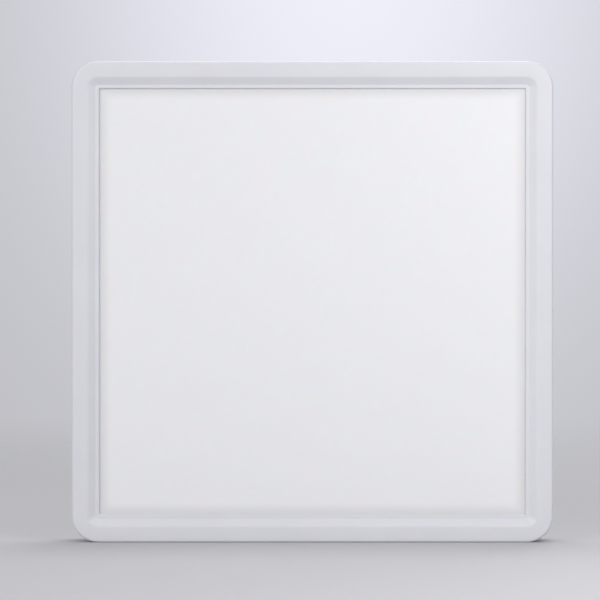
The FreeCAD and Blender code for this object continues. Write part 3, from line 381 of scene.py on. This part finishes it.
def boxes(name, low, high):
    """Boxes between many lowest and highest corners, each array (count, 3), in one mesh."""
    pick = np.array([[i, j, k] for i in (0, 1) for j in (0, 1) for k in (0, 1)])
    corners = np.where(pick[None] == 1, high[:, None], low[:, None])
    quads = np.array([
        [0, 1, 3, 2], [4, 6, 7, 5], [0, 4, 5, 1], [2, 3, 7, 6], [0, 2, 6, 4], [1, 5, 7, 3],
    ])
    faces = (quads[None] + 8 * np.arange(len(low))[:, None, None]).reshape(-1, 4)
    mesh = bpy.data.meshes.new(name)
    mesh.from_pydata(corners.reshape(-1, 3).tolist(), [], faces.tolist())
    return mesh


def quarter_turned(places):
    """The places and their copies turned round Y by 90, 180 and 270 degrees."""
    turns = [places]
    for _ in range(3):
        last = turns[-1]
        turns.append(np.stack([-last[..., 2], last[..., 1], last[..., 0]], -1))
    return np.concatenate(turns)


# Each wall has four ribs, between its screws, and three bosses, one under each screw.
screw_reach = 0.110
rib_half = 0.0006
rib_inside = 0.1450
rib_outside = 0.1481
rib_front = -0.0222
rib_back = -0.0015
stations = np.array([-2, -1, 1, 2]) * screw_reach / 3
ends = quarter_turned(np.array([
    [[x - rib_half, rib_front, rib_inside], [x + rib_half, rib_back, rib_outside]]
    for x in stations
]))
moulded("frame_ribs", boxes("frame_ribs", ends.min(1), ends.max(1)), edge=0.0002)

boss_line = 0.1452
boss_bore = 0.00125
boss_radius = 0.0028
boss_back = -0.0235
boss_front = -0.0281
around = np.linspace(0, 2 * np.pi, 28, endpoint=False)
wall = np.array([[boss_bore], [boss_radius], [boss_radius], [boss_bore]])
level = np.array([[boss_back], [boss_back], [boss_front], [boss_front]]) + 0 * around
centres = quarter_turned(np.array([[x, 0.0, boss_line] for x in (-screw_reach, 0.0, screw_reach)]))
for number, (x, _, z) in enumerate(centres):
    ring = np.stack([x + wall * np.cos(around), level, z + wall * np.sin(around)], -1)
    moulded("screw_boss_%02d" % number, ring_mesh("screw_boss", ring))


# ---- Diffuser: a 2 mm sheet of opal plastic, sawn square and laid in the frame behind its ledge.
# Its face is satin; a band along its edges is painted darker, as painted shade for the frame's
# ledge and for the light lost from the layers behind.

opal_white = (0.835, 0.818, 0.832)
opal_painted_shade = (0.715, 0.7, 0.712)
shade_band_width = 0.008
corner_blend = 0.004
opal, opal_tree, opal_shader = blank(
    "opal_sheet", opal_white, rough=0.42, Subsurface_Weight=0.25, Subsurface_Scale=0.004,
)
spot = wired(opal_tree, "ShaderNodeSeparateXYZ", {"Vector": place(opal_tree)})
aside = maths(opal_tree, "ABSOLUTE", spot.outputs["X"])
upright = maths(opal_tree, "ABSOLUTE", spot.outputs["Z"])
# Painted shade: the sheet's colour darkens from its middle towards the frame's ledge, over the
# band's width.
out_of_shade = wired(
    opal_tree, "ShaderNodeMapRange",
    {
        "Value": maths(opal_tree, "SMOOTH_MAX", aside, upright, corner_blend),
        "From Min": window, "From Max": window - shade_band_width, "To Min": 0, "To Max": 1,
    },
    interpolation_type="SMOOTHSTEP",
).outputs["Result"]
opal_tree.links.new(
    tinted(opal_tree, out_of_shade, opal_painted_shade, opal_white), opal_shader.inputs["Base Color"],
)
satin = between(opal_tree, cloud(opal_tree, cell=0.02), 0.38, 0.46)
opal_tree.links.new(satin, opal_shader.inputs["Roughness"])
raised(opal_tree, opal_shader, (cloud(opal_tree, cell=0.0002, detail=1.0), 0.0000015))
dressed("diffuser", opal, edge=0.00015)


# ---- Light guide, reflector and foam: the guide is clear acrylic with a lattice of white dots
# printed on its back; a white film and a foam sheet press it against the diffuser.

acrylic = (0.93, 0.95, 0.96)
dot_white = (0.9, 0.9, 0.9)
dot_pitch = 0.0016
guide, guide_tree, guide_shader = blank(
    "clear_guide", acrylic, rough=0.06, Transmission_Weight=0.85, IOR=1.49,
)
lattice = cells(guide_tree, dot_pitch, randomness=0.0)
printed = between(guide_tree, lattice.outputs["Distance"], 1, 0, 0.3, 0.36)
guide_tree.links.new(
    tinted(guide_tree, printed, acrylic, dot_white), guide_shader.inputs["Base Color"],
)
guide_tree.links.new(
    between(guide_tree, printed, 0.06, 0.5, 0, 1), guide_shader.inputs["Roughness"],
)
dressed("light_guide", guide, edge=0.0001)

white_film = coated(
    "white_film", (0.88, 0.88, 0.88), rough=0.3, cell=0.0004, depth=0.000002, drift=0.01,
)
dressed("reflector_sheet", white_film)

white_foam = coated(
    "white_foam", (0.8, 0.8, 0.8), rough=0.8, cell=0.0006, depth=0.00006, drift=0.03,
)
foam = dressed("foam_pad", white_foam, edge=0.0003)


# ---- Rear pan: 0.8 mm steel drawn into a shallow tray with pressed beads, powder-coated white.
# Its flange lies on the frame's bosses under twelve screws.

powder = coated(
    "white_powder_coat", (0.72, 0.72, 0.73), rough=0.4, cell=0.0011, depth=0.00002, drift=0.03,
)
pan = dressed("rear_pan", powder, edge=0.00012)

# The pan's flat faces keep their own normals where the beads roll out of them.
pan.modifiers.new("level_faces", "WEIGHTED_NORMAL").keep_sharp = True


def zinc_plated(name, colour):
    """Bright zinc plating with a faint blue and straw bloom, over fine turning marks."""
    mat, tree, shader = blank(name, colour, rough=0.28, metal=1.0)
    bloom = between(tree, cloud(tree, cell=0.002), 0, 1)
    straw = tuple(c * k for c, k in zip(colour, (1.03, 0.99, 0.88)))
    tree.links.new(tinted(tree, bloom, straw, colour), shader.inputs["Base Color"])
    turning = cloud(tree, cell=0.00015, detail=1.0)
    tree.links.new(between(tree, turning, 0.22, 0.36), shader.inputs["Roughness"])
    raised(tree, shader, (turning, 0.000003))
    return mat


plated = zinc_plated("plated_screw", (0.66, 0.67, 0.69))
for node in ("pan_screws", "driver_case_screws", "driver_lid_screws", "terminal_base_screws"):
    dressed(node, plated, edge=0.00008)


# ---- Light-emitting diodes: four white aluminium boards on the pan's walls, each with a row of
# small white packages that hold a yellow phosphor window; silicone pads hold the guide's corners.

white_mask = coated(
    "white_solder_mask", (0.82, 0.82, 0.81), rough=0.33, cell=0.0005, depth=0.000004, drift=0.02,
)
phosphor_yellow = (0.8, 0.62, 0.12)
package_white = (0.87, 0.84, 0.72)
phosphor, diode_tree, diode_shader = blank("diode_package", (0.85, 0.84, 0.8), rough=0.35)
windows = cells(diode_tree, 0.0007, randomness=1.0).outputs["Distance"]
package = between(diode_tree, windows, 0, 1, 0.1, 0.7)
diode_tree.links.new(
    tinted(diode_tree, package, phosphor_yellow, package_white),
    diode_shader.inputs["Base Color"],
)
for side in ("top", "left", "bottom", "right"):
    dressed(side + "_led_board", white_mask, edge=0.00008)
    dressed(side + "_leds", phosphor, edge=0.00015)
silicone = coated("silicone_pad", (0.72, 0.72, 0.72), rough=0.55, cell=0.0006, depth=0.00001)
dressed("guide_pads", silicone, edge=0.0002)


def insulated(name, colour):
    """PVC insulation drawn over a stranded core: a faint lay of strands and a soft gloss."""
    return coated(
        name, colour, rough=0.36, cell=0.0009, depth=0.000012, drift=0.08,
        Coat_Weight=0.1, Coat_Roughness=0.3,
    )


dressed("board_link_wires", insulated("white_insulation", (0.8, 0.8, 0.8)), sharp=50)


# ---- Catches: two folded brackets of 1.2 mm galvanised sheet, each held to the pan by two blind
# rivets; their hooks snap over the spring clips.

for side in ("right", "left"):
    dressed(side + "_catch_bracket", zinc, edge=0.00015)
dressed("catch_rivets", rivet_metal, edge=0.00008, sharp=40)


# ---- Driver: a box of grey flame-retardant plastic screwed to the pan, closed by a powder-coated
# sheet lid with a row of vents. Its circuit board stands on four standoffs.

grey_plastic = coated(
    "grey_moulding", (0.36, 0.37, 0.38), rough=0.45, cell=0.0004, depth=0.00001, drift=0.04,
)
dressed("driver_case", grey_plastic, edge=0.00025)
dressed("driver_lid", powder, edge=0.00012)


def laminate(name, mask, trace):
    """Glass-fibre board under solder mask: wandering copper tracks show as a lighter tint."""
    mat, tree, shader = blank(name, mask, rough=0.3, Coat_Weight=0.3, Coat_Roughness=0.15)
    grid = cells(tree, 0.006, randomness=0.6, distance="MANHATTAN", feature="F1")
    tracks = between(tree, grid.outputs["Distance"], 0, 1, 0.42, 0.45)
    tree.links.new(tinted(tree, tracks, mask, trace), shader.inputs["Base Color"])
    weave = wired(tree, "ShaderNodeTexChecker", {"Vector": place(tree), "Scale": 1 / 0.0006})
    raised(tree, shader, (weave.outputs["Fac"], 0.000004), (tracks, 0.00002))
    return mat


black_plastic = coated(
    "black_moulding", (0.025, 0.025, 0.027), rough=0.42, cell=0.0004, depth=0.00001,
)
ferrite = coated(
    "ferrite", (0.06, 0.06, 0.062), rough=0.6, cell=0.0003, depth=0.00002, drift=0.15,
)
yellow_film = coated(
    "yellow_film", (0.62, 0.46, 0.05), rough=0.3, cell=0.0008, depth=0.000008,
)
sleeve = coated(
    "can_sleeve", (0.02, 0.025, 0.05), rough=0.24, cell=0.003, depth=0.00001, Coat_Weight=0.3,
)
green_laminate = laminate("green_laminate", mask=(0.02, 0.16, 0.05), trace=(0.05, 0.24, 0.08))
dressed("driver_board", green_laminate, edge=0.0001)
for node, finish in (
    ("fuse", black_plastic), ("input_choke", black_plastic), ("film_capacitor", yellow_film),
    ("bulk_capacitors", sleeve), ("transformer_core", ferrite), ("transformer_coil", yellow_film),
    ("output_capacitor", sleeve), ("driver_chips", black_plastic),
):
    dressed(node, finish, edge=0.00015)


# ---- Colour selector: a slide switch on the driver's board. Its knob comes up through a slot in
# the lid and has grooves for a fingernail.

dressed("selector_body", black_plastic, edge=0.0001)
white_knob = coated("white_knob", (0.78, 0.78, 0.78), rough=0.35, cell=0.0003, depth=0.000005)
dressed("selector_knob", white_knob, edge=0.00015)


# ---- Supply terminals: a glossy grey block with three orange levers that open spring clamps; the
# building's wires go into its lower side.

terminal_grey = coated(
    "terminal_moulding", (0.42, 0.43, 0.44), rough=0.3, cell=0.0006, depth=0.000004, drift=0.03,
)
orange = coated(
    "orange_moulding", (0.78, 0.17, 0.015), rough=0.28, cell=0.0006, depth=0.000004, drift=0.04,
)
contact_copper = brushed("contact_copper", (0.75, 0.38, 0.22), rough=0.3, grain=0.0002)
dressed("terminal_base", grey_plastic, edge=0.0002)
dressed("terminal_block", terminal_grey, edge=0.0002)
dressed("terminal_contacts", contact_copper, edge=0.00005)
for pole in ("line", "neutral", "earth"):
    dressed(pole + "_terminal_lever", orange, edge=0.00015)


# ---- Wires inside: stranded copper in plastic insulation, through a snap bushing in the driver's
# wall and a rubber grommet in the pan; the earth lead ends in a crimped ring under a green screw.

black_rubber = coated(
    "black_rubber", (0.022, 0.022, 0.022), rough=0.62, cell=0.0007, depth=0.00002,
)
tinned_copper = brushed("tinned_copper", (0.72, 0.71, 0.68), rough=0.34, grain=0.0003, along=0)
dressed("supply_lead_wires", insulated("black_insulation", (0.02, 0.02, 0.022)), sharp=50)
dressed("led_lead_wires", insulated("red_insulation", (0.45, 0.02, 0.015)), sharp=50)
dressed("earth_wire", insulated("green_insulation", (0.03, 0.24, 0.06)), sharp=50)
dressed("supply_bushing", black_plastic, edge=0.00015)
dressed("pan_grommet", black_rubber, edge=0.0001)
dressed("earth_ring", tinned_copper, edge=0.0001)
dressed("earth_screw", green_lacquer, edge=0.0001)


# ---- Floor and studio: a plain pale table that fades into a glowing backdrop. The even light is
# weaker from above and the sides and a little stronger from behind. Two lamps, near right and far
# left, shape the front; one overhead gives the shadow, and one at the rear lights the back.

def any_ray(tree, *kinds):
    """1 for a ray of one of the kinds and 0 for others: the largest of their flags."""
    path = wired(tree, "ShaderNodeLightPath")
    flag = path.outputs["Is %s Ray" % kinds[0]]
    for kind in kinds[1:]:
        flag = maths(tree, "MAXIMUM", flag, path.outputs["Is %s Ray" % kind])
    return flag


floor_reach = 8
fade_start = 0.2
fade_end = 1.8
floor_mat, floor_tree, floor_shader = blank("pale_table", (0.5, 0.5, 0.52), rough=0.7)
far = wired(floor_tree, "ShaderNodeVectorMath", {0: place(floor_tree)}, operation="LENGTH")
fade = wired(
    floor_tree, "ShaderNodeMapRange",
    {
        "Value": far.outputs["Value"],
        "From Min": fade_start, "From Max": fade_end, "To Min": 0, "To Max": 1,
    },
    interpolation_type="SMOOTHSTEP",
).outputs["Result"]
share = maths(floor_tree, "MULTIPLY", fade, any_ray(floor_tree, "Camera", "Glossy"))
clear = wired(floor_tree, "ShaderNodeBsdfTransparent").outputs[0]
mixed = wired(
    floor_tree, "ShaderNodeMixShader", {0: share, 1: floor_shader.outputs[0], 2: clear},
)
floor_tree.links.new(mixed.outputs[0], floor_tree.nodes["Material Output"].inputs["Surface"])
floor_mesh = bpy.data.meshes.new("floor")
floor_corners = [
    (side * floor_reach, end * floor_reach, -half)
    for side, end in ((-1, -1), (1, -1), (1, 1), (-1, 1))
]
floor_mesh.from_pydata(floor_corners, [], [(0, 1, 2, 3)])
floor = bpy.data.objects.new("floor", floor_mesh)
floor_mesh.materials.append(floor_mat)
bpy.context.scene.collection.objects.link(floor)

world = bpy.data.worlds.new("studio")
bpy.context.scene.world = world
world.use_nodes = True
sky = world.node_tree
sky.nodes.clear()
way = wired(sky, "ShaderNodeTexCoord").outputs["Generated"]

# The backdrop glows as a bell: exp(-1/2 * the squared distance of the view's direction from the
# glow's middle, in units of the glow's width along X and Z).
glow_middle = (0.015, 0.0, 0.085)
per_width = (15.6, 0.0, 12.0)
backdrop_grey = (0.5, 0.5, 0.53)
backdrop_glow = (0.86, 0.87, 0.955)
offset = wired(sky, "ShaderNodeVectorMath", {0: way, 1: glow_middle}, operation="SUBTRACT")
spread = wired(
    sky, "ShaderNodeVectorMath", {0: offset.outputs[0], 1: per_width}, operation="MULTIPLY",
).outputs[0]
squared = wired(sky, "ShaderNodeVectorMath", {0: spread, 1: spread}, operation="DOT_PRODUCT")
glow = maths(sky, "EXPONENT", maths(sky, "MULTIPLY", squared.outputs["Value"], -0.5))
backdrop = wired(
    sky, "ShaderNodeBackground",
    {"Color": tinted(sky, glow, backdrop_grey, backdrop_glow), "Strength": 1.0},
)

# The even light's strength rises with how far its direction points along Y, either way, and
# again with how far it comes from behind.
forth = wired(sky, "ShaderNodeSeparateXYZ", {"Vector": way}).outputs["Y"]
either_way = between(sky, maths(sky, "ABSOLUTE", forth), 0.42, 0.59, 0.1, 0.8)
behind = between(sky, forth, 0.0, 0.22, 0.0, 0.7)
strength = maths(sky, "ADD", either_way, behind)
ambient = wired(
    sky, "ShaderNodeBackground", {"Color": (0.98, 0.98, 1.0, 1), "Strength": strength},
)
seen = any_ray(sky, "Camera", "Glossy", "Transmission")
joined = wired(sky, "ShaderNodeMixShader", {0: seen, 1: ambient.outputs[0], 2: backdrop.outputs[0]})
wired(sky, "ShaderNodeOutputWorld", {"Surface": joined.outputs[0]})


def soft_lamp(name, spot, aim, size, power):
    """A square soft lamp of one size, in metres, at a spot, turned to face a point."""
    lamp = bpy.data.lights.new(name, "AREA")
    lamp.size = size
    lamp.energy = power
    thing = bpy.data.objects.new(name, lamp)
    bpy.context.scene.collection.objects.link(thing)
    thing.location = spot
    thing.rotation_euler = (Vector(aim) - Vector(spot)).to_track_quat("-Z", "Y").to_euler()


middle = (0, 0, 0)
foot = (0, 0, -half)
soft_lamp("near_right", spot=(0.34, -0.56, 0.27), aim=middle, size=0.3, power=1.46)
soft_lamp("far_left", spot=(-1.1, -1.5, 0.7), aim=middle, size=0.8, power=12)
soft_lamp("overhead", spot=(0.05, 0.25, 1.35), aim=foot, size=0.5, power=5.8)
soft_lamp("rear", spot=(0.7, 1.6, 1.0), aim=middle, size=1.0, power=4.5)

camera_data = bpy.data.cameras.new("camera")
camera = bpy.data.objects.new("camera", camera_data)
bpy.context.scene.collection.objects.link(camera)
bpy.context.scene.camera = camera
camera_distance = 2.2
camera_tilt = math.radians(0.7)
camera_aside = -0.0077
camera_lift = 0.0008
frame_width = 0.3737
film_width = 36.0
camera_data.sensor_width = film_width
camera_data.lens = film_width * (camera_distance - front) / frame_width
camera.location = (
    camera_aside,
    -camera_distance * math.cos(camera_tilt),
    camera_distance * math.sin(camera_tilt) + camera_lift,
)
camera.rotation_euler = (math.pi / 2 - camera_tilt, 0, 0)

bpy.context.scene.view_settings.view_transform = "Standard"
